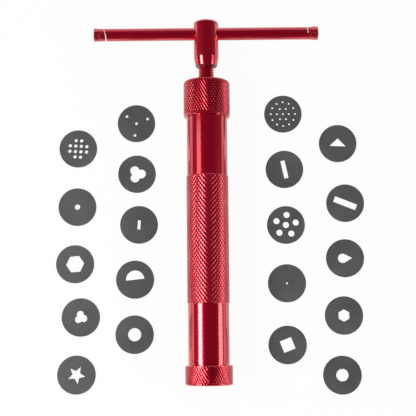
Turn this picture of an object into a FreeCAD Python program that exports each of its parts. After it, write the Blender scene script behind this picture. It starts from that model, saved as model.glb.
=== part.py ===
"""Screw-driven clay extruder with its set of interchangeable dies, in millimetres.

The tool lies on its two caps with its axis along Y: the outlet is at -Y and the T-handle at +Y. The dies
lie flat beside it on z = 0. The origin is the middle of the set's footprint, on the surface it lies on.

A station is a distance along the tool, measured from the outlet face towards the handle.
"""
import FreeCAD, Part
import math
import os
import re
import Sketcher

DOC = FreeCAD.newDocument("ClayExtruder")
ORIGIN_POINT = (-1, 1)          # how Sketcher counts a sketch's own middle
SAME = 1e-4                     # lengths that differ by less count as equal

# ---------------------------------------------------------------- driving dimensions

SIZES = {
    # clearances
    "running_fit": 0.05,        # radial, between a shaft or thread and its hole
    "bore_fit": 0.08,           # radial, between the piston and the barrel
    "seal_fit": 0.05,           # radial, between the seal and the barrel
    "end_play": 0.1,            # axial, where one piece turns on another
    "seat_gap": 0.3,            # axial, where a screwed piece stops short of its neighbour
    "die_play": 0.2,            # of a die in its pocket, across and along
    "thread_over_die": 0.25,    # radial, by which a cap's thread lets a die pass
    "edge_break": 0.4,          # chamfer on turned edges
    # dies
    "die_dia": 19.0,
    "die_thick": 1.0,
    # barrel
    "thread_wall": 1.55,        # barrel wall under the cap threads
    "tube_step": 0.3,          # rise from the threads to the plain tube
    "grip_rise": 0.3,          # rise from the plain tube to the grip
    "lower_tube_len": 29.6,
    "grip_len": 62.8,
    "upper_tube_len": 29.5,
    "cap_thread_len": 11.5,
    # caps
    "cap_wall": 1.7,
    "bottom_cap_len": 9.5,
    "lip_len": 2.0,
    "lip_reach": 1.5,           # how far the lip covers a die's rim
    "top_cap_len": 18.4,
    "cap_shoulder": 1.8,
    # screw, piston and seal
    "screw_dia": 7.8,
    "piston_station": 10.5,     # front face of the piston, as the tool lies
    "piston_len": 8.0,
    "journal_dia": 5.0,
    "piston_recess_dia": 7.2,
    "piston_recess_len": 3.0,
    "seal_section": 2.0,
    "seal_side_gap": 0.2,
    "fixing_head_dia": 6.4,
    "fixing_head_len": 2.2,
    "fixing_thread_dia": 3.0,
    "fixing_thread_len": 9.0,
    "fixing_slot_width": 0.9,
    "fixing_slot_depth": 1.0,
    # handle
    "hub_dia": 12.4,
    "screw_showing": 7.4,       # bare screw between the top cap and the hub, as the tool lies
    "hub_len": 23.4,
    "hub_taper_len": 4.8,
    "hub_mouth_dia": 10.8,
    "hub_socket_len": 11.8,
    "hub_dome": 1.7,
    "bar_seat": 17.0,           # from the hub's mouth to the bar's axis
    "bar_dia": 6.3,
    "bar_len": 112.8,
    "flare_dia": 7.2,
    "flare_len": 5.4,
    # openings of the dies
    "pin_radius": 0.5,
    "round_small_radius": 1.35,
    "round_medium_radius": 3.05,
    "round_large_radius": 3.25,
    "slot_small_len": 4.7,
    "slot_small_width": 1.45,
    "slot_medium_len": 9.2,
    "slot_medium_width": 2.2,
    "slot_wide_len": 11.8,
    "slot_wide_width": 3.1,
    "square_side": 6.05,
    "triangle_base": 8.4,
    "triangle_rise": 4.15,
    "hexagon_small_radius": 3.1,
    "hexagon_large_radius": 4.55,
    "star_radius": 4.5,
    "star_waist_radius": 2.0,
    "half_moon_radius": 4.6,
    "trefoil_small_lobe": 1.75,
    "trefoil_small_reach": 1.55,
    "trefoil_large_lobe": 2.3,
    "trefoil_large_reach": 2.15,
    "teardrop_radius": 2.35,
    "teardrop_offset": 1.2,
    "teardrop_tip": 3.6,
    "fine_hole_radius": 0.5,
    "fine_inner_ring": 3.05,
    "fine_outer_ring": 6.15,
    "four_hole_radius": 0.7,
    "four_hole_ring": 6.1,
    "six_hole_radius": 1.55,
    "six_hole_ring": 5.1,
    "grid_hole_radius": 0.85,
    "grid_step": 2.8,
    "corner_round": 0.3,
}

# Where each die lies: across from the tool's axis, along from the outlet face, and its turn in degrees.
DIE_PLACES = {
    "die_nineteen_holes": (38.75, 135.25, 0),
    "die_four_holes": (-35.75, 131.0, 22.4),
    "die_triangle": (66.25, 119.75, -2.5),
    "die_twelve_holes": (-65.25, 118.25, -3.8),
    "die_slot_medium": (39.0, 106.75, 102),
    "die_trefoil_large": (-35.5, 105.0, 3),
    "die_slot_wide": (69.25, 89.25, -22),
    "die_round_small": (-65.5, 88.5, 0),
    "die_slot_small": (-34.5, 79.25, 87),
    "die_six_holes": (39.25, 78.5, 85.3),
    "die_teardrop": (68.5, 61.5, 2),
    "die_hexagon_large": (-66.5, 59.75, 5),
    "die_half_moon": (-36.5, 51.75, 6),
    "die_pinhole": (39.25, 49.25, 0),
    "die_hexagon_small": (67.25, 33.0, 30),
    "die_trefoil_small": (-63.5, 33.25, 100),
    "die_round_large": (-36.75, 24.5, 0),
    "die_square": (39.0, 18.75, 21),
    "die_star": (-65.5, 5.0, 61.5),
    "die_round_medium": (65.75, 3.75, 0),
}

# Sizes that follow from the driving ones, as formulas of their names.
FORMULAS = {
    "cap_thread_dia": "die_dia + 2 * thread_over_die",
    "bore_dia": "cap_thread_dia - 2 * thread_wall",
    "tube_dia": "cap_thread_dia + 2 * tube_step",
    "grip_dia": "tube_dia + 2 * grip_rise",
    "cap_bore_radius": "cap_thread_dia / 2 + running_fit",
    "cap_dia": "2 * (cap_bore_radius + cap_wall)",
    "outlet_dia": "die_dia - 2 * lip_reach",
    "grip_start": "bottom_cap_len + lower_tube_len",
    "grip_end": "grip_start + grip_len",
    "top_cap_start": "grip_end + upper_tube_len",
    "top_cap_end": "top_cap_start + top_cap_len",
    "top_cap_floor": "top_cap_start + cap_thread_len",
    "die_pocket_end": "lip_len + die_thick + die_play",
    "barrel_start": "die_pocket_end",
    "barrel_end": "top_cap_floor - seat_gap",
    "bottom_shoulder": "bottom_cap_len + seat_gap",
    "top_shoulder": "top_cap_start - seat_gap",
    "die_pocket_radius": "(die_dia + die_play) / 2",
    "piston_back": "piston_station + piston_len",
    "piston_radius": "bore_dia / 2 - bore_fit",
    "recess_floor": "piston_station + piston_recess_len",
    "journal_tip": "recess_floor - end_play",
    "rod_shoulder": "piston_back + end_play",
    "seal_outer": "bore_dia / 2 - seal_fit",
    "seal_inner": "seal_outer - seal_section",
    "seal_station": "piston_station + piston_len / 2",
    "groove_radius": "seal_inner - seal_fit",
    "groove_half": "seal_section / 2 + seal_side_gap",
    "hub_station": "top_cap_end + screw_showing",
    "hub_end": "hub_station + hub_len",
    "bar_station": "hub_station + bar_seat",
    "socket_end": "hub_station + hub_socket_len",
    "bar_half": "bar_len / 2",
    "set_low": "die_round_medium_along - die_dia / 2",
    "outlet_along": "-(hub_end + set_low) / 2",
    "tool_across": "-(die_hexagon_large_across + die_slot_wide_across) / 2",
    "axis_height": "cap_dia / 2",
}


def make_sheet():
    """Put every driving dimension in the spreadsheet, one named cell each."""
    sheet = DOC.addObject("Spreadsheet::Sheet", "Sizes")
    cells = dict(SIZES)
    for die, (across, along, turn) in DIE_PLACES.items():
        cells[die + "_across"] = across
        cells[die + "_along"] = along
        cells[die + "_turn"] = turn
    for row, (alias, value) in enumerate(cells.items(), start=1):
        sheet.set("A%d" % row, alias)
        sheet.set("B%d" % row, str(value))
        sheet.setAlias("B%d" % row, alias)
    DOC.recompute()
    return sheet, set(cells)


SHEET, CELLS = make_sheet()


def bound(formula):
    """Spell a formula out in sheet cells, so that FreeCAD can bind a size to it."""
    def spell(match):
        word = match.group(0)
        if word in CELLS:
            return "Sizes." + word
        if word in FORMULAS:
            return "(" + bound(FORMULAS[word]) + ")"
        return word
    return re.sub(r"[a-z][a-z_]*", spell, formula)


def value(formula):
    """The number that a formula gives now."""
    return float(SHEET.evalExpression(bound(formula)))


# ---------------------------------------------------------------- sketch and body helpers

def new_body(name):
    body = DOC.addObject("PartDesign::Body", name)
    body.Label = name
    return body


def origin_part(body, role):
    """One of the body's own origin planes or axes."""
    return next(part for part in body.Origin.OriginFeatures if part.Role == role)


def new_sketch(body, name, plane="XY_Plane"):
    sketch = body.newObject("Sketcher::SketchObject", name)
    sketch.AttachmentSupport = [(origin_part(body, plane), "")]
    sketch.MapMode = "FlatFace"
    return sketch


def bind_point(sketch, item, end, across, along):
    """Hold one point of a sketch at a place given by two formulas."""
    # Sketcher counts its own upright axis as -2 and its level axis as -1.
    for kind, formula, axis in (("DistanceX", across, -2), ("DistanceY", along, -1)):
        if formula == "0":
            sketch.addConstraint(Sketcher.Constraint("PointOnObject", item, end, axis))
            continue
        constraint = Sketcher.Constraint(kind, *ORIGIN_POINT, item, end, value(formula))
        number = sketch.addConstraint(constraint)
        sketch.setExpression("Constraints[%d]" % number, bound(formula))


def add_outline(sketch, points):
    """Closed outline of straight lines through points, each a pair of formulas."""
    places = [FreeCAD.Vector(value(across), value(along), 0) for across, along in points]
    lines = []
    for start, end in zip(places, places[1:] + places[:1]):
        lines.append(sketch.addGeometry(Part.LineSegment(start, end), False))
    for before, after in zip(lines[-1:] + lines[:-1], lines):
        sketch.addConstraint(Sketcher.Constraint("Coincident", before, 2, after, 1))
    for line, (across, along) in zip(lines, points):
        bind_point(sketch, line, 1, across, along)


def add_circle(sketch, radius, across="0", along="0"):
    centre = FreeCAD.Vector(value(across), value(along), 0)
    circle = Part.Circle(centre, FreeCAD.Vector(0, 0, 1), value(radius))
    item = sketch.addGeometry(circle, False)
    bind_point(sketch, item, 3, across, along)
    number = sketch.addConstraint(Sketcher.Constraint("Radius", item, value(radius)))
    sketch.setExpression("Constraints[%d]" % number, bound(radius))


def turned(name, points, axis="V_Axis"):
    """A turned piece: its half section, as (radius, station) pairs, revolved about the tool's axis."""
    body = new_body(name)
    sketch = new_sketch(body, name + "_section")
    add_outline(sketch, points)
    revolve = body.newObject("PartDesign::Revolution", name + "_turning")
    revolve.Profile = sketch
    revolve.ReferenceAxis = (sketch, [axis])
    revolve.Angle = 360
    DOC.recompute()
    return body


def pocket_through(body, sketch, name):
    """Cut a sketch through the whole piece, both ways from its plane."""
    before = body.Shape.Volume
    pocket = body.newObject("PartDesign::Pocket", name)
    pocket.Profile = sketch
    pocket.Type = "ThroughAll"
    pocket.Midplane = True
    DOC.recompute()
    if not body.Shape.Volume < before:
        raise RuntimeError(name + " cuts nothing")
    return pocket


def ring_edges(body, radius, station):
    """Names of the round edges of a turned piece with this radius, at this station."""
    names = []
    for number, edge in enumerate(body.Tip.Shape.Edges, start=1):
        curve = edge.Curve
        if not isinstance(curve, Part.Circle) or abs(curve.Radius - radius) > SAME:
            continue
        if abs(curve.Center.y - station) < SAME:
            names.append("Edge%d" % number)
    return names


def round_edges(body, name, edges, radius):
    base = body.Tip
    fillet = body.newObject("PartDesign::Fillet", name)
    fillet.Base = (base, edges)
    fillet.setExpression("Radius", bound(radius))
    DOC.recompute()


def lay_on_axis(body):
    """Put a piece of the tool on the tool's axis, which lies along Y at cap height."""
    body.setExpression("Placement.Base.x", bound("tool_across"))
    body.setExpression("Placement.Base.y", bound("outlet_along"))
    body.setExpression("Placement.Base.z", bound("axis_height"))
    return body


# ---------------------------------------------------------------- barrel and caps

def make_barrel():
    """Tube with a raised grip band and a threaded, stepped-down length at each end."""
    body = turned("barrel", [
        ("bore_dia / 2", "barrel_start"),
        ("cap_thread_dia / 2 - edge_break", "barrel_start"),
        ("cap_thread_dia / 2", "barrel_start + edge_break"),
        ("cap_thread_dia / 2", "bottom_shoulder"),
        ("tube_dia / 2", "bottom_shoulder"),
        ("tube_dia / 2", "grip_start"),
        ("grip_dia / 2", "grip_start + grip_rise"),
        ("grip_dia / 2", "grip_end - grip_rise"),
        ("tube_dia / 2", "grip_end"),
        ("tube_dia / 2", "top_shoulder"),
        ("cap_thread_dia / 2", "top_shoulder"),
        ("cap_thread_dia / 2", "barrel_end - edge_break"),
        ("cap_thread_dia / 2 - edge_break", "barrel_end"),
        ("bore_dia / 2 + edge_break", "barrel_end"),
        ("bore_dia / 2", "barrel_end - edge_break"),
    ])
    return lay_on_axis(body)


def make_bottom_cap():
    """Ring that screws over the outlet end: its lip holds a die in the pocket against the barrel."""
    body = turned("bottom_cap", [
        ("outlet_dia / 2 + edge_break", "0"),
        ("cap_dia / 2 - edge_break", "0"),
        ("cap_dia / 2", "edge_break"),
        ("cap_dia / 2", "bottom_cap_len - edge_break"),
        ("cap_dia / 2 - edge_break", "bottom_cap_len"),
        ("cap_bore_radius", "bottom_cap_len"),
        ("cap_bore_radius", "die_pocket_end"),
        ("die_pocket_radius", "die_pocket_end"),
        ("die_pocket_radius", "lip_len"),
        ("outlet_dia / 2", "lip_len"),
        ("outlet_dia / 2", "edge_break"),
    ])
    return lay_on_axis(body)


def make_top_cap():
    """Cap that screws over the handle end and is the nut that the screw turns in."""
    body = turned("top_cap", [
        ("screw_dia / 2 + running_fit", "top_cap_floor + edge_break"),
        ("screw_dia / 2 + running_fit + edge_break", "top_cap_floor"),
        ("cap_bore_radius", "top_cap_floor"),
        ("cap_bore_radius", "top_cap_start"),
        ("cap_dia / 2 - edge_break", "top_cap_start"),
        ("cap_dia / 2", "top_cap_start + edge_break"),
        ("cap_dia / 2", "top_cap_end"),
        ("screw_dia / 2 + running_fit + edge_break", "top_cap_end"),
        ("screw_dia / 2 + running_fit", "top_cap_end - edge_break"),
    ])
    edges = ring_edges(body, value("cap_dia / 2"), value("top_cap_end"))
    round_edges(body, "top_cap_shoulder", edges, "cap_shoulder")
    return lay_on_axis(body)


# ---------------------------------------------------------------- screw, piston and seal

def make_screw_rod():
    """Feed screw, plain at its crest diameter, with a journal that carries the piston."""
    body = turned("screw_rod", [
        ("fixing_thread_dia / 2", "journal_tip"),
        ("journal_dia / 2", "journal_tip"),
        ("journal_dia / 2", "rod_shoulder"),
        ("screw_dia / 2 - edge_break", "rod_shoulder"),
        ("screw_dia / 2", "rod_shoulder + edge_break"),
        ("screw_dia / 2", "socket_end"),
        ("0", "socket_end"),
        ("0", "journal_tip + fixing_thread_len"),
        ("fixing_thread_dia / 2", "journal_tip + fixing_thread_len"),
    ])
    return lay_on_axis(body)


def make_piston():
    """Disc that pushes the clay, turning freely on the screw's journal, with a groove for its seal."""
    body = turned("piston", [
        ("piston_recess_dia / 2", "piston_station"),
        ("piston_radius - edge_break", "piston_station"),
        ("piston_radius", "piston_station + edge_break"),
        ("piston_radius", "seal_station - groove_half"),
        ("groove_radius", "seal_station - groove_half"),
        ("groove_radius", "seal_station + groove_half"),
        ("piston_radius", "seal_station + groove_half"),
        ("piston_radius", "piston_back - edge_break"),
        ("piston_radius - edge_break", "piston_back"),
        ("journal_dia / 2 + running_fit", "piston_back"),
        ("journal_dia / 2 + running_fit", "recess_floor"),
        ("piston_recess_dia / 2", "recess_floor"),
    ])
    return lay_on_axis(body)


def make_piston_seal():
    """Rubber ring of square section in the piston's groove."""
    body = turned("piston_seal", [
        ("seal_inner", "seal_station - seal_section / 2"),
        ("seal_outer", "seal_station - seal_section / 2"),
        ("seal_outer", "seal_station + seal_section / 2"),
        ("seal_inner", "seal_station + seal_section / 2"),
    ])
    return lay_on_axis(body)


def make_piston_fixing():
    """Slotted screw that keeps the piston on the journal."""
    body = turned("piston_fixing", [
        ("0", "journal_tip - fixing_head_len"),
        ("fixing_head_dia / 2 - edge_break", "journal_tip - fixing_head_len"),
        ("fixing_head_dia / 2", "journal_tip - fixing_head_len + edge_break"),
        ("fixing_head_dia / 2", "journal_tip"),
        ("fixing_thread_dia / 2", "journal_tip"),
        ("fixing_thread_dia / 2", "journal_tip + fixing_thread_len - end_play"),
        ("0", "journal_tip + fixing_thread_len - end_play"),
    ])
    half_slot = "fixing_slot_width / 2"
    sketch = new_sketch(body, "piston_fixing_slot_section")
    add_outline(sketch, [
        ("-" + half_slot, "journal_tip - fixing_head_len - fixing_slot_depth"),
        (half_slot, "journal_tip - fixing_head_len - fixing_slot_depth"),
        (half_slot, "journal_tip - fixing_head_len + fixing_slot_depth"),
        ("-" + half_slot, "journal_tip - fixing_head_len + fixing_slot_depth"),
    ])
    pocket_through(body, sketch, "piston_fixing_slot")
    return lay_on_axis(body)


# ---------------------------------------------------------------- handle

def make_handle_hub():
    """Domed hub fixed on the screw's end, tapered to its mouth, with a cross hole for the bar."""
    body = turned("handle_hub", [
        ("screw_dia / 2", "hub_station + edge_break"),
        ("screw_dia / 2 + edge_break", "hub_station"),
        ("hub_mouth_dia / 2 - edge_break", "hub_station"),
        ("hub_mouth_dia / 2", "hub_station + edge_break"),
        ("hub_dia / 2", "hub_station + hub_taper_len"),
        ("hub_dia / 2", "hub_end"),
        ("0", "hub_end"),
        ("0", "socket_end"),
        ("screw_dia / 2", "socket_end"),
    ])
    edges = ring_edges(body, value("hub_dia / 2"), value("hub_end"))
    round_edges(body, "handle_hub_dome", edges, "hub_dome")
    sketch = new_sketch(body, "handle_hub_cross_section", "YZ_Plane")
    add_circle(sketch, "bar_dia / 2 + running_fit", "bar_station", "0")
    pocket_through(body, sketch, "handle_hub_cross_hole")
    return lay_on_axis(body)


def make_tommy_bar():
    """Bar that slides in the hub, its ends flared to a cone so that it can't fall out."""
    body = turned("tommy_bar", [
        ("-bar_half", "0"),
        ("-bar_half", "bar_dia / 2 - edge_break"),
        ("-bar_half + edge_break", "flare_dia / 2"),
        ("-bar_half + flare_len", "bar_dia / 2"),
        ("bar_half - flare_len", "bar_dia / 2"),
        ("bar_half - edge_break", "flare_dia / 2"),
        ("bar_half", "bar_dia / 2 - edge_break"),
        ("bar_half", "0"),
    ], axis="H_Axis")
    body.setExpression("Placement.Base.x", bound("tool_across"))
    body.setExpression("Placement.Base.y", bound("outlet_along + bar_station"))
    body.setExpression("Placement.Base.z", bound("axis_height"))
    return body


# ---------------------------------------------------------------- dies

def blank_die(name):
    """Round steel blank, lying flat, at the die's own place."""
    body = new_body(name)
    sketch = new_sketch(body, name + "_disc")
    add_circle(sketch, "die_dia / 2")
    pad = body.newObject("PartDesign::Pad", name + "_plate")
    pad.Profile = sketch
    pad.setExpression("Length", bound("die_thick"))
    body.setExpression("Placement.Base.x", bound("tool_across + %s_across" % name))
    body.setExpression("Placement.Base.y", bound("outlet_along + %s_along" % name))
    body.Placement.Rotation.Axis = FreeCAD.Vector(0, 0, 1)
    body.setExpression("Placement.Rotation.Angle", bound(name + "_turn"))
    DOC.recompute()
    return body


def cut_outline(body, points):
    sketch = new_sketch(body, body.Name + "_shape")
    add_outline(sketch, points)
    return pocket_through(body, sketch, body.Name + "_opening")


def cut_circles(body, radius, places, part="opening"):
    sketch = new_sketch(body, "%s_%s_holes" % (body.Name, part))
    for across, along in places:
        add_circle(sketch, radius, across, along)
    return pocket_through(body, sketch, "%s_%s" % (body.Name, part))


def cut_ring(body, radius, reach, count, part="ring"):
    """A ring of equal holes: one hole, repeated round the die's middle."""
    hole = cut_circles(body, radius, [(reach, "0")], part)
    pattern = body.newObject("PartDesign::PolarPattern", "%s_%s_pattern" % (body.Name, part))
    pattern.Originals = [hole]
    pattern.Axis = (origin_part(body, "Z_Axis"), [""])
    pattern.Angle = 360
    pattern.Occurrences = count
    body.Tip = pattern
    DOC.recompute()


def cut_slot(body, kind):
    half_len = "slot_%s_len / 2" % kind
    half_width = "slot_%s_width / 2" % kind
    cut_outline(body, [
        ("-" + half_len, "-" + half_width),
        (half_len, "-" + half_width),
        (half_len, half_width),
        ("-" + half_len, half_width),
    ])


def points_round_middle(count, radii):
    """Evenly spaced points round the middle, at radii that take turns."""
    points = []
    for number in range(count):
        radius = radii[number % len(radii)]
        angle = 360.0 / count * number
        points.append(("%s * cos(%s)" % (radius, angle), "%s * sin(%s)" % (radius, angle)))
    return points


def round_corners(body):
    """Round the upright corners of a die's opening, as a worn punch leaves them."""
    upright = []
    for number, edge in enumerate(body.Tip.Shape.Edges, start=1):
        start, end = edge.Vertexes[0].Point, edge.Vertexes[-1].Point
        inside = math.hypot(start.x, start.y) < value("die_dia / 2") - SAME
        if inside and abs(end.z - start.z) > SAME:
            upright.append("Edge%d" % number)
    round_edges(body, body.Name + "_corners", upright, "corner_round")


def cut_half_moon(body):
    """Half disc: an arc over a flat that passes through the middle."""
    radius = "half_moon_radius"
    sketch = new_sketch(body, body.Name + "_shape")
    circle = Part.Circle(FreeCAD.Vector(0, 0, 0), FreeCAD.Vector(0, 0, 1), value(radius))
    arc = sketch.addGeometry(Part.ArcOfCircle(circle, 0, math.pi), False)
    ends = [FreeCAD.Vector(-value(radius), 0, 0), FreeCAD.Vector(value(radius), 0, 0)]
    flat = sketch.addGeometry(Part.LineSegment(*ends), False)
    sketch.addConstraint(Sketcher.Constraint("Coincident", arc, 3, *ORIGIN_POINT))
    sketch.addConstraint(Sketcher.Constraint("Coincident", arc, 2, flat, 1))
    sketch.addConstraint(Sketcher.Constraint("Coincident", arc, 1, flat, 2))
    for end in (1, 2):
        sketch.addConstraint(Sketcher.Constraint("PointOnObject", flat, end, -1))
    number = sketch.addConstraint(Sketcher.Constraint("Radius", arc, value(radius)))
    sketch.setExpression("Constraints[%d]" % number, bound(radius))
    pocket_through(body, sketch, body.Name + "_opening")


def cut_teardrop(body):
    """Round end with two straight sides that leave it as tangents and meet at the tip."""
    reach = "(teardrop_offset + teardrop_tip)"
    lean = "acos(teardrop_radius / %s)" % reach
    foot = "teardrop_radius * cos(%s) - teardrop_offset" % lean
    spread = "teardrop_radius * sin(%s)" % lean
    cut_circles(body, "teardrop_radius", [("-teardrop_offset", "0")], "round_end")
    cut_outline(body, [(foot, "-" + spread), ("teardrop_tip", "0"), (foot, spread),
                       ("-teardrop_offset", "0")])


def grid_places():
    """Rows of two, four, four and two holes on a square grid, centred on the die."""
    places = []
    for row, columns in ((1.5, (-0.5, 0.5)), (0.5, (-1.5, -0.5, 0.5, 1.5))):
        for side in (row, -row):
            for column in columns:
                places.append(("%s * grid_step" % column, "%s * grid_step" % side))
    return places


def make_dies():
    dies = {name: blank_die(name) for name in DIE_PLACES}
    middle = [("0", "0")]
    cut_circles(dies["die_pinhole"], "pin_radius", middle)
    for kind in ("small", "medium", "large"):
        cut_circles(dies["die_round_" + kind], "round_%s_radius" % kind, middle)
    for kind in ("small", "medium", "wide"):
        cut_slot(dies["die_slot_" + kind], kind)
    for kind in ("small", "large"):
        corners = points_round_middle(6, ["hexagon_%s_radius" % kind])
        cut_outline(dies["die_hexagon_" + kind], corners)
        cut_ring(dies["die_trefoil_" + kind], "trefoil_%s_lobe" % kind, "trefoil_%s_reach" % kind, 3)
    cut_outline(dies["die_square"], [
        ("-square_side / 2", "-square_side / 2"), ("square_side / 2", "-square_side / 2"),
        ("square_side / 2", "square_side / 2"), ("-square_side / 2", "square_side / 2")])
    round_corners(dies["die_square"])
    cut_outline(dies["die_triangle"], [
        ("-triangle_base / 2", "-triangle_rise / 3"), ("triangle_base / 2", "-triangle_rise / 3"),
        ("0", "triangle_rise * 2 / 3")])
    cut_outline(dies["die_star"], points_round_middle(10, ["star_radius", "star_waist_radius"]))
    cut_half_moon(dies["die_half_moon"])
    round_corners(dies["die_half_moon"])
    cut_teardrop(dies["die_teardrop"])
    cut_circles(dies["die_nineteen_holes"], "fine_hole_radius", middle)
    cut_ring(dies["die_nineteen_holes"], "fine_hole_radius", "fine_inner_ring", 6, "inner_ring")
    cut_ring(dies["die_nineteen_holes"], "fine_hole_radius", "fine_outer_ring", 12, "outer_ring")
    cut_circles(dies["die_four_holes"], "four_hole_radius", middle)
    cut_ring(dies["die_four_holes"], "four_hole_radius", "four_hole_ring", 3)
    cut_circles(dies["die_six_holes"], "six_hole_radius", middle)
    cut_ring(dies["die_six_holes"], "six_hole_radius", "six_hole_ring", 5)
    cut_circles(dies["die_twelve_holes"], "grid_hole_radius", grid_places())
    return list(dies.values())


# ---------------------------------------------------------------- build, check and write

def check(parts):
    for item in DOC.Objects:
        if {"Invalid", "Error"} & set(item.State):
            raise RuntimeError("%s failed: %s" % (item.Name, item.State))
    for part in parts:
        if part.Shape.isNull() or not part.Shape.isValid() or not part.Shape.Solids:
            raise RuntimeError("%s has no valid solid" % part.Label)


def main():
    parts = [make_barrel(), make_bottom_cap(), make_top_cap(), make_screw_rod(), make_piston(),
             make_piston_seal(), make_piston_fixing(), make_handle_hub(), make_tommy_bar()]
    parts += make_dies()
    DOC.recompute()
    check(parts)
    os.makedirs("parts", exist_ok=True)
    for part in parts:
        part.Shape.exportStep("parts/%s.step" % part.Label)
        box = part.Shape.BoundBox
        print("%-20s %8.1f mm3  x %7.2f %7.2f  y %7.2f %7.2f  z %6.2f %6.2f" % (
            part.Label, part.Shape.Volume, box.XMin, box.XMax, box.YMin, box.YMax, box.ZMin, box.ZMax))


main()
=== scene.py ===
# %% [markdown]
# # A screw-driven clay extruder and its set of dies
#
# The tool is a red anodised barrel with a knurled grip, closed by a knurled cap at each end. A
# T-handle turns a long feed screw through the top cap, and the screw pushes a piston down the
# barrel. Round steel dies lie beside it. Almost every piece is turned on a lathe, so this lesson is
# about turned forms and about patterns that follow a rule: the knurl, the screw threads and the
# finishes.
#
# The frame below is the measured model. Every piece made here stands where a measured node stands.

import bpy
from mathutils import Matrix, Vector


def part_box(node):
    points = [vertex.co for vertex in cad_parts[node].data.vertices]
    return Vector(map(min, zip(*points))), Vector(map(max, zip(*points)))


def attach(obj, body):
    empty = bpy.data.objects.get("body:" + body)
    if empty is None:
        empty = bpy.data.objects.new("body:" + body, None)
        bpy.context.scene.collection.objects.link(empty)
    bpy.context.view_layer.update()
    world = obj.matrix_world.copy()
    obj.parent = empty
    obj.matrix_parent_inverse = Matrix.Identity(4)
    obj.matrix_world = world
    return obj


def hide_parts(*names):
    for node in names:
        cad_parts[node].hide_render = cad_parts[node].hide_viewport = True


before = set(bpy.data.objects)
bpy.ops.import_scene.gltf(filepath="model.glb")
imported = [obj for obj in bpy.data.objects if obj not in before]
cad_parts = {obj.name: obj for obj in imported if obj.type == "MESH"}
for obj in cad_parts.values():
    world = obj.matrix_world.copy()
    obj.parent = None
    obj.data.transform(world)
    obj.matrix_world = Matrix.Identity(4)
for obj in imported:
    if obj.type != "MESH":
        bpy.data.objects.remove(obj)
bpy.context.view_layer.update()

# %% [markdown]
# Blender works in metres, and a turned piece is easiest to read in millimetres. So each piece is
# drawn about its own Y axis in millimetres and then laid on the tool's axis. A station is a
# distance from the outlet face towards the handle.

# %% The tool's axis, read from the frame
import math

import bmesh
import bpy
from mathutils import Matrix, Vector, noise

MM = 0.001
outlet_low, outlet_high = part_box("bottom_cap")
AXIS_X = (outlet_low[0] + outlet_high[0]) / 2
AXIS_Z = (outlet_low[2] + outlet_high[2]) / 2
OUTLET_Y = outlet_low[1]
ON_AXIS = Matrix.Translation((AXIS_X, OUTLET_Y, AXIS_Z))
print("axis at x %.4f, z %.4f, outlet at y %.4f" % (AXIS_X, AXIS_Z, OUTLET_Y))

# %% [markdown]
# ## The view, the floor and the light
#
# The camera looks almost straight down from half a metre above the table, with a long lens. The set
# lies on a white table, so the floor shows white to the camera and to anything shiny, and its
# diffuse part keeps a faint shadow.
#
# Polished metal is all reflection, so the room matters as much as the lamps. Two long soft boxes
# stand left and right of the tool, beside its outlet end more than its handle, and a faint third
# one carries the left one on. The room that a shiny surface sees is dark overhead, so the red stays
# deep between the highlights, and it grows brighter low down and towards the handle's side.

# %% The camera
CAMERA_HEIGHT, CAMERA_STATION, CAMERA_ASIDE = 518.1, 23.45, 0.2
PITCH, ROLL = 7.05, -0.535
LENS, SENSOR = 89.67, 36
camera = bpy.data.objects.new("camera", bpy.data.cameras.new("camera"))
camera.data.lens, camera.data.sensor_width = LENS, SENSOR
camera.data.clip_start, camera.data.clip_end = 0.05, 20
stand = (AXIS_X + CAMERA_ASIDE * MM, OUTLET_Y + CAMERA_STATION * MM, CAMERA_HEIGHT * MM)
camera.matrix_world = (Matrix.Translation(stand)
                       @ Matrix.Rotation(math.radians(PITCH), 4, "X")
                       @ Matrix.Rotation(math.radians(ROLL), 4, "Z"))
bpy.context.scene.collection.objects.link(camera)
bpy.context.scene.camera = camera
bpy.context.scene.view_settings.view_transform = "Standard"
print("camera at", [round(part, 4) for part in camera.location])


# %% The floor
def stage_tree(material):
    material.use_nodes = True
    material.node_tree.nodes.clear()
    return material.node_tree.nodes, material.node_tree.links


FLOOR_GLOW = 0.95
GLOSSY_SHARE = 0.35
CLOTH = 0.97
TABLE_HALF = 2


def white_floor():
    floor_white = bpy.data.materials.new("table_white")
    nodes, links = stage_tree(floor_white)
    cloth, glow = nodes.new("ShaderNodeBsdfDiffuse"), nodes.new("ShaderNodeEmission")
    cloth.inputs["Color"].default_value = (CLOTH, CLOTH, CLOTH, 1)
    seen = nodes.new("ShaderNodeLightPath")
    either = nodes.new("ShaderNodeMath")
    either.operation = "MULTIPLY_ADD"
    either.inputs[1].default_value = GLOSSY_SHARE
    share = nodes.new("ShaderNodeMath")
    share.operation = "MULTIPLY"
    share.inputs[1].default_value = FLOOR_GLOW
    mix, out = nodes.new("ShaderNodeMixShader"), nodes.new("ShaderNodeOutputMaterial")
    links.new(seen.outputs["Is Glossy Ray"], either.inputs[0])
    links.new(seen.outputs["Is Camera Ray"], either.inputs[2])
    links.new(either.outputs[0], share.inputs[0])
    links.new(share.outputs[0], mix.inputs[0])
    links.new(cloth.outputs[0], mix.inputs[1])
    links.new(glow.outputs[0], mix.inputs[2])
    links.new(mix.outputs[0], out.inputs["Surface"])
    return floor_white


mesh = bpy.data.meshes.new("table")
corners = [(x * TABLE_HALF, y * TABLE_HALF, 0) for x, y in ((-1, -1), (1, -1), (1, 1), (-1, 1))]
mesh.from_pydata(corners, [], [(0, 1, 2, 3)])
mesh.materials.append(white_floor())
table = bpy.data.objects.new("table", mesh)
bpy.context.scene.collection.objects.link(table)
print("the table is", [round(side) for side in table.dimensions[:2]], "m wide")


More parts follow.
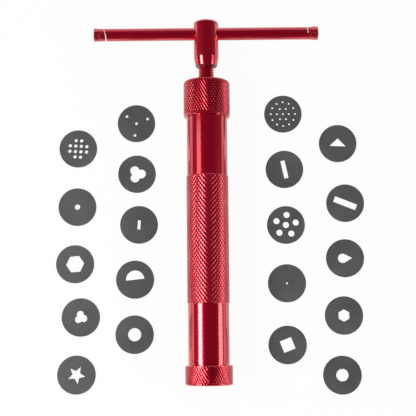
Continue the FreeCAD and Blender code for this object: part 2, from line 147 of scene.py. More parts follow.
# %% The room
def ramp(nodes, stops):
    """A ramp of greys, from pairs of a position and a level."""
    node = nodes.new("ShaderNodeValToRGB")
    marks = node.color_ramp.elements
    for mark, (at, level) in zip(marks, (stops[0], stops[-1])):
        mark.position, mark.color = at, (level, level, level, 1)
    for at, level in stops[1:-1]:
        marks.new(at).color = (level, level, level, 1)
    return node


def room(by_height, by_length, plain_level):
    """A room with one grey by height and one by direction along Y, multiplied, for shiny surfaces."""
    world = bpy.data.worlds.new("room")
    bpy.context.scene.world = world
    world.use_nodes = True
    nodes, links = world.node_tree.nodes, world.node_tree.links
    toward = nodes.new("ShaderNodeSeparateXYZ")
    links.new(nodes.new("ShaderNodeTexCoord").outputs["Generated"], toward.inputs[0])
    length = nodes.new("ShaderNodeMapRange")
    length.inputs[1].default_value = -1
    links.new(toward.outputs["Y"], length.inputs[0])
    height, along = ramp(nodes, by_height), ramp(nodes, by_length)
    links.new(toward.outputs["Z"], height.inputs[0])
    links.new(length.outputs[0], along.inputs[0])
    both = nodes.new("ShaderNodeVectorMath")
    both.operation = "MULTIPLY"
    links.new(height.outputs[0], both.inputs[0])
    links.new(along.outputs[0], both.inputs[1])
    seen = nodes.new("ShaderNodeLightPath")
    plain, white = nodes.new("ShaderNodeMix"), nodes.new("ShaderNodeMix")
    plain.data_type = white.data_type = "RGBA"
    plain.inputs[6].default_value = (plain_level, plain_level, plain_level, 1)
    white.inputs[7].default_value = (1, 1, 1, 1)
    links.new(seen.outputs["Is Glossy Ray"], plain.inputs[0])
    links.new(both.outputs[0], plain.inputs[7])
    links.new(seen.outputs["Is Camera Ray"], white.inputs[0])
    links.new(plain.outputs[2], white.inputs[6])
    links.new(white.outputs[2], nodes["Background"].inputs["Color"])


room(by_height=((0.0, 1.0), (0.25, 0.95), (0.42, 0.8), (0.6, 0.5), (0.76, 0.3), (1.0, 0.2)),
     by_length=((0.0, 0.05), (0.5, 0.06), (0.65, 0.1), (0.83, 0.2), (0.9, 0.42), (0.95, 0.62),
                (1.0, 0.85)),
     plain_level=0.42)
print("the room has", len(bpy.context.scene.world.node_tree.nodes), "nodes")


# %% The lamps
def soft_box(name, degrees, width, start, end, level, distance=0.7):
    """A long lamp beside the tool, from start to end along Y, this many degrees from overhead."""
    lamp = bpy.data.lights.new(name, "AREA")
    lamp.shape, lamp.size, lamp.size_y = "RECTANGLE", width, end - start
    lamp.energy = level * math.pi * width * (end - start)
    lamp.color = (1, 0.98, 0.91)
    holder = bpy.data.objects.new(name, lamp)
    tilt = Matrix.Rotation(math.radians(degrees), 4, "Y")
    holder.matrix_world = tilt @ Matrix.Translation((0, (start + end) / 2, distance))
    bpy.context.scene.collection.objects.link(holder)
    print(name, "gives", round(lamp.energy, 2), "W")


soft_box("soft_box_left", degrees=-46.5, width=0.25, start=-0.34, end=0.06, level=10.0)
soft_box("soft_box_left_far", degrees=-47, width=0.28, start=0.06, end=0.185, level=1.6)
soft_box("soft_box_right", degrees=68.5, width=0.28, start=-0.4, end=0.05, level=3.6)

# %% [markdown]
# ## Finishes
#
# A material is a small network of nodes. The helper below starts one with a Principled shader and
# gives short ways to add and join nodes, so that each finish can be read as a list of what it
# mixes.

# %% A helper for materials
def named_or_numbered(key):
    """i3 asks for input 3, and any other word for the input of that name."""
    return int(key[1:]) if key[1:].isdigit() else key.replace("_", " ")


class Finish:
    """A material under construction, with its Principled shader and its object coordinates."""

    def __init__(self, name, **settings):
        self.material = bpy.data.materials.new(name)
        self.material.use_nodes = True
        self.tree = self.material.node_tree
        self.shader = self.tree.nodes["Principled BSDF"]
        self.place = self.tree.nodes.new("ShaderNodeTexCoord").outputs["Object"]
        for socket, value in settings.items():
            self.shader.inputs[socket.replace("_", " ")].default_value = value

    def add(self, kind, out=0, settings=None, **inputs):
        """A new node: settings are its own properties, inputs are numbers or other nodes' outputs."""
        node = self.tree.nodes.new("ShaderNode" + kind)
        for key, value in (settings or {}).items():
            setattr(node, key, value)
        for key, value in inputs.items():
            socket = node.inputs[named_or_numbered(key)]
            self.feed(socket, value)
        return node.outputs[out]

    def feed(self, socket, value):
        if isinstance(value, bpy.types.NodeSocket):
            self.tree.links.new(value, socket)
        else:
            socket.default_value = value

    def noise(self, scale, detail=3.0, roughness=0.5, stretch=(1, 1, 1)):
        """Cloudy noise, from 0 to 1, stretched along the axes."""
        place = self.add("Mapping", Vector=self.place, Scale=stretch)
        return self.add("TexNoise", Vector=place, Scale=scale, Detail=detail, Roughness=roughness)

    def between(self, value, low, high, to_low=0.0, to_high=1.0):
        return self.add("MapRange", Value=value, i1=low, i2=high, i3=to_low, i4=to_high)

    def blend(self, share, first, second):
        """A colour between two colours."""
        return self.add("Mix", out=2, settings={"data_type": "RGBA"}, i0=share, i6=first, i7=second)

    def bump(self, height, strength, distance):
        normal = self.add("Bump", Height=height, Strength=strength, Distance=distance * MM)
        self.feed(self.shader.inputs["Normal"], normal)


# %% [markdown]
# Red anodising is a thin clear layer of dyed oxide on bright aluminium. The metal under it mirrors
# the room, the dye makes that mirror image red, and the skin of the oxide adds a thin white gloss.
# That is a mostly metallic base with a coat over it. The part of the base that isn't metallic is
# the light that the dye scatters, which keeps the red from going black where the room is dark.
# Turning leaves fine rings, so the bump noise is drawn out round the axis by squeezing it along Y.
# A rolled knurl is rougher and its skin less glossy, and its red is scaled darker as a painted shade.
# Its grooves get a further painted shade: the colour is darkened towards the deep red by how far each
# groove is pressed in. Where a tool has torn through the skin the bare metal shows, too rough to
# mirror anything. The mesh stores both as attributes, called groove and bare.

# %% Red anodised aluminium
OXIDE_INDEX = 1.76
BARE_COLOUR = (0.92, 0.88, 0.90, 1)


def red_anodising(name, metal, rough, rings, coat, coat_rough, gloss=0.5, painted_shade_scale=1.0):
    skin = Finish(name, Coat_Weight=coat, Coat_Roughness=coat_rough, Coat_IOR=OXIDE_INDEX,
                  Specular_IOR_Level=gloss)
    cloud = skin.noise(90, 4)
    # A scale under 1 darkens both red colours: a painted shade for the knurled pieces.
    deep_red_and_groove_shade, plain = (0.56 * painted_shade_scale, 0.001, 0.023 * painted_shade_scale, 1), (0.73 * painted_shade_scale, 0.001, 0.032 * painted_shade_scale, 1)
    dye_and_groove_shade = skin.blend(skin.between(cloud, 0.35, 0.65, 0.0, 0.25), plain, deep_red_and_groove_shade)
    groove = skin.add("Attribute", out=2, settings={"attribute_name": "groove"})
    worn = skin.add("Attribute", out=2, settings={"attribute_name": "bare"})
    # Painted shade: the knurl's grooves are darkened towards the deep red by their groove depth.
    dye_and_groove_shade = skin.blend(skin.between(groove, 0.4, 1.0, 0.0, 0.55), dye_and_groove_shade, deep_red_and_groove_shade)
    skin.feed(skin.shader.inputs["Base Color"], skin.blend(worn, dye_and_groove_shade, BARE_COLOUR))
    skin.feed(skin.shader.inputs["Metallic"], skin.between(worn, 0.0, 1.0, metal, 0.0))
    streak = skin.noise(260, 5, 0.6, (1, rings, 1))
    skin.feed(skin.shader.inputs["Roughness"],
              skin.between(streak, 0.3, 0.7, rough - 0.02, rough + 0.03))
    skin.bump(streak, 0.02, 0.02)
    return skin.material


RED_TUBE = red_anodising("red_anodised_polished", metal=0.7, rough=0.2, rings=9, coat=1.0,
                         coat_rough=0.08)
# The knurled finishes are the same anodising with their colours scaled darker, a painted shade.
RED_KNURL = red_anodising("red_anodised_knurl", metal=0.72, rough=0.27, rings=1, coat=0.85,
                          coat_rough=0.19, gloss=0.3, painted_shade_scale=0.93)
RED_FINE = red_anodising("red_anodised_fine", metal=0.8, rough=0.24, rings=1, coat=0.6, coat_rough=0.12,
                         gloss=0.2, painted_shade_scale=0.85)
print("red finishes:", RED_TUBE.name, RED_KNURL.name, RED_FINE.name)

# %% [markdown]
# Bare aluminium shows where the dyed skin is cut through, and on the piston; at the hub's mouth the cut
# is coloured a dark lilac grey, bare metal with a painted shade. The seal is black nitrile rubber,
# and the small screw that holds the piston is zinc-plated steel. Dies are blanked from sheet steel:
# an even, dull dark grey with a faint mottle, and a painted shade that darkens every face turned
# away from straight up, so their eased rims and walls read darker.

# %% Bare aluminium, steel and rubber
def bright_metal(name, colour, rough, grain, stretch):
    metal = Finish(name, Metallic=1.0)
    marks = metal.noise(grain, 6, 0.6, stretch)
    shade = tuple(0.72 * part for part in colour)
    metal.feed(metal.shader.inputs["Base Color"],
               metal.blend(metal.between(marks, 0.3, 0.7), shade + (1,), colour + (1,)))
    metal.feed(metal.shader.inputs["Roughness"],
               metal.between(marks, 0.3, 0.7, rough - 0.06, rough + 0.1))
    metal.bump(marks, 0.15, 0.02)
    return metal.material


# The cut at the hub's mouth is bare aluminium with a dark lilac grey colour, a painted shade.
BARE_WITH_PAINTED_SHADE = bright_metal("bare_aluminium_cut", (0.30, 0.22, 0.25), 0.3, 400, (1, 6, 1))
TURNED = bright_metal("bare_aluminium_turned", (0.70, 0.70, 0.70), 0.3, 300, (1, 12, 1))
ZINC = bright_metal("fixing_steel_zinc", (0.60, 0.61, 0.62), 0.28, 500, (1, 1, 1))

rubber = Finish("seal_rubber_black", Roughness=0.62, Specular_IOR_Level=0.4)
grain = rubber.noise(1500, 4)
rubber.feed(rubber.shader.inputs["Base Color"],
            rubber.blend(grain, (0.012, 0.012, 0.013, 1), (0.03, 0.03, 0.032, 1)))
rubber.bump(grain, 0.3, 0.03)
RUBBER = rubber.material
print("other finishes:", BARE_WITH_PAINTED_SHADE.name, TURNED.name, ZINC.name, RUBBER.name)

# %% Blanked sheet steel for the dies
def die_finish(name):
    steel = Finish(name, Metallic=0.3)
    clouds = steel.noise(55, 3)
    mottle = steel.noise(900, 5, 0.65)
    mixed = steel.add("Math", settings={"operation": "MULTIPLY_ADD"}, i0=mottle, i1=0.45,
                      i2=steel.between(clouds, 0.3, 0.7, 0.0, 0.55))
    face = steel.blend(mixed, (0.095, 0.096, 0.098, 1), (0.172, 0.173, 0.175, 1))
    # Painted shade: the colour goes to a near black as a face turns away from straight up, so the eased
    # rims and the walls are darkened in the colour itself.
    up = steel.add("SeparateXYZ", out=2, Vector=steel.add("NewGeometry", out=1))
    colour = steel.blend(steel.between(up, 0.6, 0.99), (0.045, 0.046, 0.048, 1), face)
    steel.feed(steel.shader.inputs["Base Color"], colour)
    steel.feed(steel.shader.inputs["Roughness"], steel.between(mottle, 0.3, 0.7, 0.40, 0.52))
    steel.bump(mottle, 0.12, 0.02)
    return steel.material


DIE_STEEL = die_finish("die_steel_satin")
print("die finish:", DIE_STEEL.name)

# %% [markdown]
# ## Turned pieces
#
# A lathe spins a piece and cuts its outline. Blender's Screw modifier does the same with a drawn
# half section: a line of (radius, station) points, spun once round Y. A section that starts off the
# axis is a closed loop, and one that starts on the axis is open. The result becomes a plain mesh,
# its doubles are merged, and its faces are turned to point outwards.

# %% Helpers for turned pieces
WELD = 1e-7


def drawn(name, section):
    """An object that holds only the half section, as edges."""
    points = [(radius * MM, station * MM, 0) for radius, station in section]
    edges = [(at, at + 1) for at in range(len(points) - 1)]
    if section[0][0] > 0:
        edges.append((len(points) - 1, 0))
    mesh = bpy.data.meshes.new(name)
    mesh.from_pydata(points, edges, [])
    piece = bpy.data.objects.new(name, mesh)
    bpy.context.scene.collection.objects.link(piece)
    return piece


def spun(name, section, columns):
    """The section spun once round Y by a Screw modifier."""
    piece = drawn(name, section)
    turn = piece.modifiers.new("Lathe", "SCREW")
    turn.axis = "Y"
    turn.steps = turn.render_steps = columns
    turn.use_merge_vertices = True
    turn.merge_threshold = WELD
    made_real(piece)
    tidy(piece, lambda form: bmesh.ops.remove_doubles(form, verts=form.verts, dist=WELD))
    return piece


def made_real(piece):
    """Swap the modifiers for the mesh that they make."""
    bpy.context.view_layer.update()
    seen = piece.evaluated_get(bpy.context.evaluated_depsgraph_get())
    mesh = bpy.data.meshes.new_from_object(seen)
    piece.modifiers.clear()
    piece.data = mesh
    mesh.name = piece.name


def tidy(piece, work):
    """Open the mesh, do some work on it, turn its faces outwards and close it."""
    form = bmesh.new()
    form.from_mesh(piece.data)
    work(form)
    bmesh.ops.recalc_face_normals(form, faces=form.faces)
    form.to_mesh(piece.data)
    form.free()


# %% Helpers that finish a piece
def finished(piece, body, nodes, place=ON_AXIS, sharp=30):
    """Lay a piece in its place, smooth it up to its sharp edges, and tie it to the frame."""
    piece.data.transform(place)
    piece.data.shade_smooth()
    piece.data.set_sharp_from_angle(angle=math.radians(sharp))
    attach(piece, body)
    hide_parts(*nodes)
    open_edges = count_open_edges(piece.data)
    print("%s: %d faces, %d open edges" % (piece.name, len(piece.data.polygons), open_edges))
    return piece


def count_open_edges(mesh):
    form = bmesh.new()
    form.from_mesh(mesh)
    count = sum(not edge.is_manifold for edge in form.edges)
    form.free()
    return count


def joined(name, pieces):
    """Several objects as one, for shells that sit on each other."""
    form = bmesh.new()
    materials = []
    for piece in pieces:
        start = len(form.faces)
        form.from_mesh(piece.data)
        form.faces.ensure_lookup_table()
        shift = len(materials)
        for face in form.faces[start:]:
            face.material_index += shift
        materials += list(piece.data.materials)
    whole = pieces[0]
    whole.name = name
    whole.data.materials.clear()
    for material in materials:
        whole.data.materials.append(material)
    form.to_mesh(whole.data)
    form.free()
    for piece in pieces[1:]:
        bpy.data.objects.remove(piece)
    return whole


def coloured(piece, material, cut=None, low=0.0, high=0.0):
    """Give a piece its material, and a second one to the faces between two stations."""
    piece.data.materials.clear()
    piece.data.materials.append(material)
    if cut:
        piece.data.materials.append(cut)
        for face in piece.data.polygons:
            face.material_index = int(low < face.center.y / MM < high)


def stations(start, end, step):
    """Evenly spaced stations from start to end, about one step apart."""
    count = max(1, round((end - start) / step))
    return [start + (end - start) * at / count for at in range(count + 1)]


# %% [markdown]
# ## The knurl
#
# A knurl is rolled into the metal by two wheels. One leaves grooves that climb to the right, the
# other grooves that climb to the left, and small pyramids stand between them. Each wheel's groove
# is a simple rule of the angle round the axis and the station along it, so Geometry Nodes can push
# the surface in by that rule. Count the turns a point has made in groove spacings: round the axis
# plus along it for one wheel, round minus along for the other. Ping-pong each count and the nearest
# groove's distance comes out. The smaller of the two is the height of the pyramid at that point.
#
# No two knurls are rolled alike, so five inputs shape the rule. Lean makes one wheel's grooves
# narrower than the other's and Lift makes them shallower. Round bellies the top of a pyramid out,
# Swell hollows its foot, and Depth is how far the deepest groove goes in.
#
# The rows and columns of the lathe mesh are spaced at an eighth or a tenth of the pattern, so every
# groove and every peak falls on a vertex, and splitting each quad along its shorter diagonal lays
# the edges in the grooves.

# %% A small helper to write node trees
SOCKETS = {"Material": "NodeSocketMaterial", "Geometry": "NodeSocketGeometry"}


class Rule:
    """A Geometry Nodes tree under construction."""

    def __init__(self, name, *inputs):
        self.tree = bpy.data.node_groups.new(name, "GeometryNodeTree")
        sockets = self.tree.interface
        for word in ("Geometry",) + inputs + ("Material",):
            sockets.new_socket(word, in_out="INPUT", socket_type=SOCKETS.get(word, "NodeSocketFloat"))
        sockets.new_socket("Geometry", in_out="OUTPUT", socket_type="NodeSocketGeometry")
        self.given = self.tree.nodes.new("NodeGroupInput").outputs

    def add(self, kind, out=0, settings=None, **inputs):
        """A new node: settings are its own properties, inputs are numbers or other nodes' outputs."""
        node = self.tree.nodes.new(kind)
        for key, value in (settings or {}).items():
            setattr(node, key, value)
        for key, value in inputs.items():
            socket = node.inputs[named_or_numbered(key)]
            if isinstance(value, bpy.types.NodeSocket):
                self.tree.links.new(value, socket)
            else:
                socket.default_value = value
        return node.outputs[out]

    def math(self, operation, first, second=0.0, clamp=False):
        return self.add("ShaderNodeMath", settings={"operation": operation, "use_clamp": clamp},
                        i0=first, i1=second)

    def close(self, geometry):
        """End the tree the way every tree here ends: real faces, with their material."""
        real = self.add("GeometryNodeRealizeInstances", Geometry=geometry)
        done = self.add("GeometryNodeSetMaterial", Geometry=real, Material=self.given["Material"])
        out = self.tree.nodes.new("NodeGroupOutput")
        self.tree.links.new(done, out.inputs["Geometry"])
        return self.tree


def ruled(piece, tree, **values):
    """Run a tree on a piece with these inputs, then keep the mesh that it makes."""
    modifier = piece.modifiers.new(tree.name, "NODES")
    modifier.node_group = tree
    for socket in tree.interface.items_tree:
        word = socket.name.replace(" ", "_")
        if socket.in_out == "INPUT" and word in values:
            modifier[socket.identifier] = values[word]
    made_real(piece)
    return piece


# %% The tree that rolls a knurl
EDGE_SLACK = 1e-6


def knurl_tree():
    rule = Rule("Rolled knurl", "Start", "End", "Grooves", "Pitch", "Depth", "Round", "Swell", "Lean",
                "Lift", "Least radius")
    given, do = rule.given, rule.math
    place = rule.add("ShaderNodeSeparateXYZ", Vector=rule.add("GeometryNodeInputPosition"))
    x, y, z = place.node.outputs
    radius = do("SQRT", do("ADD", do("MULTIPLY", x, x), do("MULTIPLY", z, z)))
    turned = do("DIVIDE", do("MULTIPLY", do("ARCTAN2", z, x), given["Grooves"]), 2 * math.pi)
    along = do("DIVIDE", do("SUBTRACT", y, given["Start"]), given["Pitch"])
    climbing = do("PINGPONG", do("ADD", turned, along), 0.5)
    falling = do("PINGPONG", do("SUBTRACT", turned, along), 0.5)
    steeper = do("ADD", do("MULTIPLY", climbing, given["Lean"]), given["Lift"])
    nearest = do("MINIMUM", steeper, falling)
    below_top = do("SUBTRACT", 1.0, do("MULTIPLY", nearest, 2.0, clamp=True))
    height = do("POWER", do("SUBTRACT", 1.0, do("POWER", below_top, given["Round"])), given["Swell"])
    inside = do("MULTIPLY", do("GREATER_THAN", y, do("SUBTRACT", given["Start"], EDGE_SLACK)),
                do("LESS_THAN", y, do("ADD", given["End"], EDGE_SLACK)))
    outside_bore = do("GREATER_THAN", radius, given["Least radius"])
    groove = do("MULTIPLY", do("SUBTRACT", 1.0, height), do("MULTIPLY", inside, outside_bore))
    share = do("DIVIDE", do("MULTIPLY", groove, do("MULTIPLY", given["Depth"], -1.0)), radius)
    inward = rule.add("ShaderNodeCombineXYZ", X=do("MULTIPLY", x, share), Z=do("MULTIPLY", z, share))
    # The groove depth is also stored on the points, for the painted groove shade in the red finishes.
    stored = rule.add("GeometryNodeStoreNamedAttribute",
                      settings={"data_type": "FLOAT", "domain": "POINT"},
                      Geometry=given["Geometry"], Name="groove", Value=groove)
    pressed = rule.add("GeometryNodeSetPosition", Geometry=stored, Offset=inward)
    split = rule.add("GeometryNodeTriangulate", settings={"quad_method": "SHORTEST_DIAGONAL"},
                     Mesh=pressed)
    return rule.close(split)


KNURL = knurl_tree()
print("knurl tree:", len(KNURL.nodes), "nodes")

# %% [markdown]
# ## Screw threads
#
# A thread is a ridge that climbs round a core at a steady pitch, which is a rule again. The tree
# below bends a Spiral curve, keeps the curve's normals level so that the ridge doesn't roll over as
# it climbs, and sweeps a small trapezium along it with Curve to Mesh. The trapezium shrinks over
# the last third of a turn, as a real thread runs out. The ridge is a closed shell that stands in
# the turned core, and a ridge inside a cap points the other way.

# %% The tree that winds a thread
# Shares of the pitch: how deep the ridge sits in the core, and how wide it is at its foot and its top.
SUNK, FOOT, TOP = 0.04, 0.84, 0.12
RUN_OUT, LEAST_SCALE = 3.0, 0.02


def thread_tree():
    rule = Rule("Wound thread", "Core radius", "Rise", "Pitch", "Turns", "Start", "Inward")
    given, do = rule.given, rule.math
    spiral = rule.add("GeometryNodeCurveSpiral", Resolution=48, Rotations=given["Turns"], Reverse=True,
                      Start_Radius=given["Core radius"], End_Radius=given["Core radius"],
                      Height=do("MULTIPLY", given["Turns"], given["Pitch"]))
    level = rule.add("GeometryNodeSetCurveNormal", settings={"mode": "Z_UP"}, Curve=spiral)
    sunk = do("MULTIPLY", given["Pitch"], SUNK)
    profile = rule.add("GeometryNodeCurvePrimitiveQuadrilateral", settings={"mode": "TRAPEZOID"},
                       Height=do("ADD", given["Rise"], sunk), Offset=0.0,
                       Bottom_Width=do("MULTIPLY", given["Pitch"], FOOT),
                       Top_Width=do("MULTIPLY", given["Pitch"], TOP))
    stand = rule.add("ShaderNodeCombineXYZ", Y=do("DIVIDE", do("SUBTRACT", given["Rise"], sunk), 2.0))
    raised = rule.add("GeometryNodeTransform", Geometry=profile, Translation=stand)
    quarter = rule.add("ShaderNodeCombineXYZ",
                       Z=do("MULTIPLY", do("SUBTRACT", given["Inward"], 0.5), math.pi))
    faced = rule.add("GeometryNodeTransform", Geometry=raised, Rotation=quarter)
    passed = rule.add("GeometryNodeSplineParameter")
    to_end = do("MULTIPLY", do("PINGPONG", passed, 0.5), given["Turns"])
    taper = do("MAXIMUM", do("MULTIPLY", to_end, RUN_OUT, clamp=True), LEAST_SCALE)
    ridge = rule.add("GeometryNodeCurveToMesh", Curve=level, Profile_Curve=faced, Scale=taper,
                     Fill_Caps=True)
    lift = rule.add("ShaderNodeCombineXYZ", Y=given["Start"])
    laid = rule.add("GeometryNodeTransform", Geometry=ridge, Translation=lift,
                    Rotation=(-math.pi / 2, 0, 0))
    return rule.close(laid)


THREAD = thread_tree()


def wound(name, core, crest, pitch, start, end, material):
    """A right-handed thread ridge round Y, from one station to another, with its sizes in mm."""
    piece = bpy.data.objects.new(name, bpy.data.meshes.new(name))
    bpy.context.scene.collection.objects.link(piece)
    ruled(piece, THREAD, Core_radius=core * MM, Rise=abs(crest - core) * MM, Pitch=pitch * MM,
          Turns=(end - start) / pitch, Start=start * MM, Inward=float(crest < core), Material=material)
    tidy(piece, lambda form: None)
    return piece


print("thread tree:", len(THREAD.nodes), "nodes")

# %% [markdown]
# ## The barrel
#
# The barrel is a tube of about 20 mm with a coarse knurled grip along its middle and a fine thread
# at each end for the caps. The half section is drawn point by point, with a row of points along the
# grip so that the knurl has something to press into. The grip stands 0.3 mm proud of the tube,
# because rolling a knurl raises the metal.

# %% Turn, knurl and thread the barrel
BORE, NECK, TUBE, GRIP = 8.2, 9.2, 10.05, 10.35
BARREL_START, BARREL_END, NECK_START, NECK_END = 3.2, 142.6, 9.8, 131.35
GRIP_START, GRIP_END, GRIP_GROOVES, GRIP_PITCH = 39.4, 101.6, 30, 2.42
GRIP_DEPTH, GRIP_LEAST, KNURL_SHARP = 0.15, 10.2, 12
CAP_LEAD, THREAD_RISE = 1.5, 0.5
grip_rows = [(GRIP, at) for at in stations(GRIP_START, GRIP_END, GRIP_PITCH / 10)]
barrel = spun("barrel_shell", [
    (BORE, BARREL_START), (NECK - 0.2, BARREL_START), (NECK, BARREL_START + 0.2), (NECK, NECK_START),
    (TUBE - 0.1, NECK_START), (TUBE, NECK_START + 0.1), (TUBE, GRIP_START - 0.25), *grip_rows,
    (TUBE, GRIP_END + 0.25), (TUBE, NECK_END - 0.1), (TUBE - 0.1, NECK_END), (NECK, NECK_END),
    (NECK, BARREL_END - 0.2), (NECK - 0.2, BARREL_END), (BORE + 0.4, BARREL_END),
    (BORE, BARREL_END - 0.4)], 10 * GRIP_GROOVES)
ruled(barrel, KNURL, Start=GRIP_START * MM, End=GRIP_END * MM, Grooves=GRIP_GROOVES,
      Pitch=GRIP_PITCH * MM, Depth=GRIP_DEPTH * MM, Round=1.0, Swell=0.6, Lean=2.0, Lift=0.0,
      Least_radius=GRIP_LEAST * MM, Material=RED_KNURL)
coloured(barrel, RED_TUBE, RED_KNURL, GRIP_START, GRIP_END)
barrel = joined("barrel_shell", [
    barrel, wound("outlet_thread", NECK, NECK + THREAD_RISE, CAP_LEAD, 3.8, 9.1, RED_TUBE),
    wound("handle_thread", NECK, NECK + THREAD_RISE, CAP_LEAD, 131.7, 142.0, RED_TUBE)])
finished(barrel, "barrel", ["barrel"], sharp=KNURL_SHARP)

# %% [markdown]
# ## The caps
#
# Each cap is a ring with a finer knurl, steeper along the tool than the grip's. The bottom cap's
# lip holds a die against the barrel. The top cap is closed but for the hole that the screw runs in,
# and its shoulder is rounded. The knurl runs up onto that shoulder, so the section follows the
# rounding in short steps.

# %% Turn, knurl and thread the caps
CAP, CAP_BORE, CAP_GROOVES, CAP_PITCH = 11.5, 9.8, 48, 2.46
CAP_DEPTH, CAP_LEAST, CAP_THREAD_TOP = 0.16, 9.95, 9.35
BOTTOM_KNURL, TOP_KNURL = (0.75, 8.9), (132.8, 149.2)


def knurled_cap(name, section, start, end):
    cap = spun(name, section, 8 * CAP_GROOVES)
    ruled(cap, KNURL, Start=start * MM, End=end * MM, Grooves=CAP_GROOVES, Pitch=CAP_PITCH * MM,
          Depth=CAP_DEPTH * MM, Round=2.2, Swell=0.9, Lean=1.4, Lift=0.08, Least_radius=CAP_LEAST * MM,
          Material=RED_FINE)
    coloured(cap, RED_TUBE, RED_FINE, start, end)
    return cap


def rounded(radius, station, size, steps):
    """The quarter circle that rounds a corner at this radius and station."""
    return [(radius - size + size * math.cos(turn), station - size + size * math.sin(turn))
            for turn in (math.pi / 2 * at / steps for at in range(1, steps))]


bottom_rows = [(CAP, at) for at in stations(*BOTTOM_KNURL, CAP_PITCH / 8)]
bottom_cap = knurled_cap("bottom_cap_shell", [
    (8.4, 0), (CAP - 0.4, 0), (CAP, 0.4), *bottom_rows, (CAP, 9.3), (CAP - 0.2, 9.5),
    (CAP_BORE + 0.3, 9.5), (CAP_BORE, 9.2), (CAP_BORE, 3.2), (9.6, 3.2), (9.6, 2.0), (8.0, 2.0),
    (8.0, 0.4)], *BOTTOM_KNURL)
bottom_cap = joined("bottom_cap_shell", [
    bottom_cap, wound("bottom_cap_thread", CAP_BORE, CAP_THREAD_TOP, CAP_LEAD, 3.9, 8.9, RED_TUBE)])
finished(bottom_cap, "bottom_cap", ["bottom_cap"], sharp=KNURL_SHARP)

SHOULDER, TOP_END = 1.8, 149.8
top_rows = [(CAP, at) for at in stations(TOP_KNURL[0], TOP_END - SHOULDER, CAP_PITCH / 8)]
top_cap = knurled_cap("top_cap_shell", [
    (3.95, 143.3), (4.35, 142.9), (CAP_BORE, 142.9), (CAP_BORE, 131.7), (CAP_BORE + 0.3, 131.4),
    (CAP - 0.5, 131.4), (CAP, 131.9), *top_rows, *rounded(CAP, TOP_END, SHOULDER, 12),
    (CAP - SHOULDER, TOP_END), (4.35, TOP_END), (3.95, TOP_END - 0.4)], *TOP_KNURL)
top_cap = joined("top_cap_shell", [
    top_cap, wound("top_cap_thread", CAP_BORE, CAP_THREAD_TOP, CAP_LEAD, 132.0, 142.7, RED_TUBE)])
finished(top_cap, "top_cap", ["top_cap"], sharp=KNURL_SHARP)

# %% [markdown]
# ## The feed screw
#
# The screw carries a full-length thread, 7.8 mm across its crests, with 1.25 mm from one crest to
# the next. Its core is turned first, with the small journal that the piston turns on at its lower
# end, and one long ridge is wound round it.

# %% Turn and thread the feed screw
CREST, ROOT, LEAD, SCREW_COLUMNS = 3.9, 3.22, 1.25, 48
screw = spun("feed_screw", [
    (0, 22.4), (1.5, 22.4), (1.5, 13.4), (2.5, 13.4), (2.5, 18.6), (ROOT, 18.6), (ROOT, 157.4),
    (CREST, 157.9), (CREST, 169.0), (0, 169.0)], SCREW_COLUMNS)
coloured(screw, RED_TUBE)
screw = joined("feed_screw", [screw, wound("feed_thread", ROOT, CREST, LEAD, 19.1, 157.5, RED_FINE)])
finished(screw, "screw", ["screw_rod"])

# %% [markdown]
# ## The hub and the T-bar
#
# The hub is turned with a taper at its mouth and a domed end, and a hole is drilled across it. A
# Boolean modifier drills it with a plain round cutter, as a drill press would. The mouth's edge was
# chamfered after anodising, so it is bare, and that bare metal is coloured a dark lilac grey, a
# painted shade.

# %% Turn and drill the hub
HUB, HUB_MOUTH, HUB_START, HUB_END, DOME, BAR_STATION = 6.2, 5.4, 157.2, 180.6, 1.7, 174.2
CROSS_HOLE, SMOOTH_COLUMNS = 3.2, 96
hub = spun("handle_hub_shell", [
    (0, 169.0), (CREST, 169.0), (CREST, HUB_START + 0.4), (CREST + 0.4, HUB_START),
    (HUB_MOUTH - 0.4, HUB_START), (HUB_MOUTH, HUB_START + 0.4), (HUB, 162.0),
    (HUB, HUB_END - DOME), *reversed(rounded(HUB, HUB_END, DOME, 12)), (HUB - DOME, HUB_END),
    (0, HUB_END)], SMOOTH_COLUMNS)
drill = spun("drill", [(0, -10), (CROSS_HOLE, -10), (CROSS_HOLE, 10), (0, 10)], SMOOTH_COLUMNS)
drill.data.transform(Matrix.Translation((0, BAR_STATION * MM, 0))
                     @ Matrix.Rotation(math.pi / 2, 4, "Z"))
bore = hub.modifiers.new("Drill", "BOOLEAN")
bore.operation, bore.solver, bore.object = "DIFFERENCE", "EXACT", drill
made_real(hub)
bpy.data.objects.remove(drill)
coloured(hub, RED_TUBE, BARE_WITH_PAINTED_SHADE, HUB_START - 1, HUB_START + 0.35)
finished(hub, "screw", ["handle_hub"], sharp=8)

# %% [markdown]
# The bar is a plain rod whose two ends have been swaged wider, so that it can't slide out of the
# hub. The punch leaves soft dents, and at the neck of each flare it has cut a thin crescent through
# the red skin. The dents are a smooth noise that only ever moves the surface inwards. The crescents
# are painted into the bare attribute, point by point, with a faint share of it beyond them where
# the punch scuffed the skin.

# %% Turn, dent and mark the T-bar
BAR_HALF, BAR, FLARE, FLARE_START, FLARE_END = 56.4, 3.15, 3.6, 51.0, 56.0
DENT, SCUFF = 0.08, 0.16


def flare_section():
    """One end of the bar, from the plain rod outwards, as (radius, distance from the middle)."""
    cone = [(BAR + (FLARE - BAR) * (at - FLARE_START) / (FLARE_END - FLARE_START), at)
            for at in stations(FLARE_START, FLARE_END, 0.16)]
    return cone + [(FLARE - 0.35, FLARE_END + 0.2), (FLARE - 0.85, BAR_HALF - 0.05), (1.6, BAR_HALF)]


def dented(point):
    """A point of the bar, pressed in by the punch near the ends."""
    near_end = min(1.0, max(0.0, (abs(point.y) / MM - FLARE_START) / 1.5))
    dent = 0.5 + 0.5 * noise.noise(point / MM * 0.5 + Vector((3, 0, 7)))
    press = 1 - near_end * DENT * dent
    return Vector((point.x * press, point.y, point.z * press))


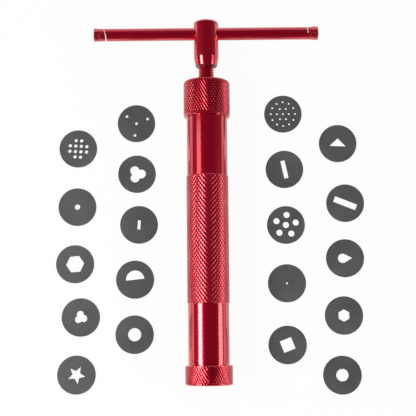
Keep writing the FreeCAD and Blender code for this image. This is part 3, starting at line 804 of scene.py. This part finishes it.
def skin_cut(point):
    """How bare the metal is here: 1 in the middle of a crescent, 0 away from it."""
    turn = math.atan2(point.x, point.z)
    lean = math.sin(turn)
    if point.y < 0:
        middle, half, ends = 50.5 - 0.8 * lean + 0.5 * lean * lean, 0.25 + 0.14 * lean, (-0.75, 1.0)
    else:
        middle, half, ends = 51.05 + 0.42 * lean, 0.25, (-1.0, 0.2)
    across = abs(abs(point.y) / MM - middle) / half
    cut = max(0.0, 1.0 - across ** 4) * float(math.cos(turn) > 0 and ends[0] < lean < ends[1])
    beyond = min(1.0, max(0.0, abs(point.y) / MM - middle - half))
    scuff = SCUFF * max(0.0, noise.noise(point / MM * 1.1 + Vector((5, 1, 2))))
    return max(cut, beyond * scuff)


side = flare_section()
section = ([(0, -BAR_HALF)] + [(radius, -at) for radius, at in reversed(side)]
           + [(BAR, at) for at in stations(-50.85, -49.8, 0.15)]
           + [(BAR, at) for at in stations(-47, 47, 3.0)]
           + [(BAR, at) for at in stations(49.8, 50.85, 0.15)] + side + [(0, BAR_HALF)])
bar = spun("t_bar", section, SMOOTH_COLUMNS)
bare = bar.data.attributes.new("bare", "FLOAT", "POINT")
for vertex in bar.data.vertices:
    bare.data[vertex.index].value = skin_cut(vertex.co)
    vertex.co = dented(vertex.co)
coloured(bar, RED_TUBE)
across_hub = (ON_AXIS @ Matrix.Translation((0, BAR_STATION * MM, 0))
              @ Matrix.Rotation(-math.pi / 2, 4, "Z"))
finished(bar, "tommy_bar", ["tommy_bar"], across_hub)

# %% [markdown]
# ## The small parts inside
#
# The piston, its seal and its fixing screw keep their measured shapes, since each is already what
# the real piece is. They only need their finishes.

# %% Finish the measured parts
def finish_node(name, material):
    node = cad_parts[name]
    node.data.materials.clear()
    node.data.materials.append(material)


finish_node("piston", TURNED)
finish_node("piston_seal", RUBBER)
finish_node("piston_fixing", ZINC)
print("finished the piston, its seal and its fixing")

# %% [markdown]
# ## The dies
#
# A die is a disc of sheet steel with one shaped opening, or a pattern of holes. Tumbling takes the
# sharp edge off, and that thin rounded rim is what tells the eye that a flat grey disc is metal. So
# each measured disc is copied, its loose triangles are merged and dissolved back into flat faces,
# and a Bevel modifier eases the rims.

# %% Ease the edges of every die
DIE_WELD, FLAT_ANGLE, EASE, LEVEL_FACE = 1e-6, 0.001, 0.1, 0.999


def eased(node_name):
    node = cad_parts[node_name]
    die = bpy.data.objects.new(node_name + "_eased", node.data.copy())
    bpy.context.scene.collection.objects.link(die)

    def whole(form):
        bmesh.ops.remove_doubles(form, verts=form.verts, dist=DIE_WELD)
        flat = [edge for edge in form.edges
                if edge.is_manifold and edge.calc_face_angle() < FLAT_ANGLE]
        bmesh.ops.dissolve_edges(form, edges=flat, use_verts=False)
    tidy(die, whole)
    ease = die.modifiers.new("Ease", "BEVEL")
    ease.width, ease.segments, ease.limit_method = EASE * MM, 3, "ANGLE"
    ease.angle_limit = math.radians(40)
    made_real(die)
    coloured(die, DIE_STEEL)
    finished(die, node_name, [node_name], Matrix.Identity(4), 20)
    for face in die.data.polygons:
        face.use_smooth = abs(face.normal.z) < LEVEL_FACE
    return die


dies = [eased(name) for name in sorted(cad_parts) if name.startswith("die_")]
print(len(dies), "dies")
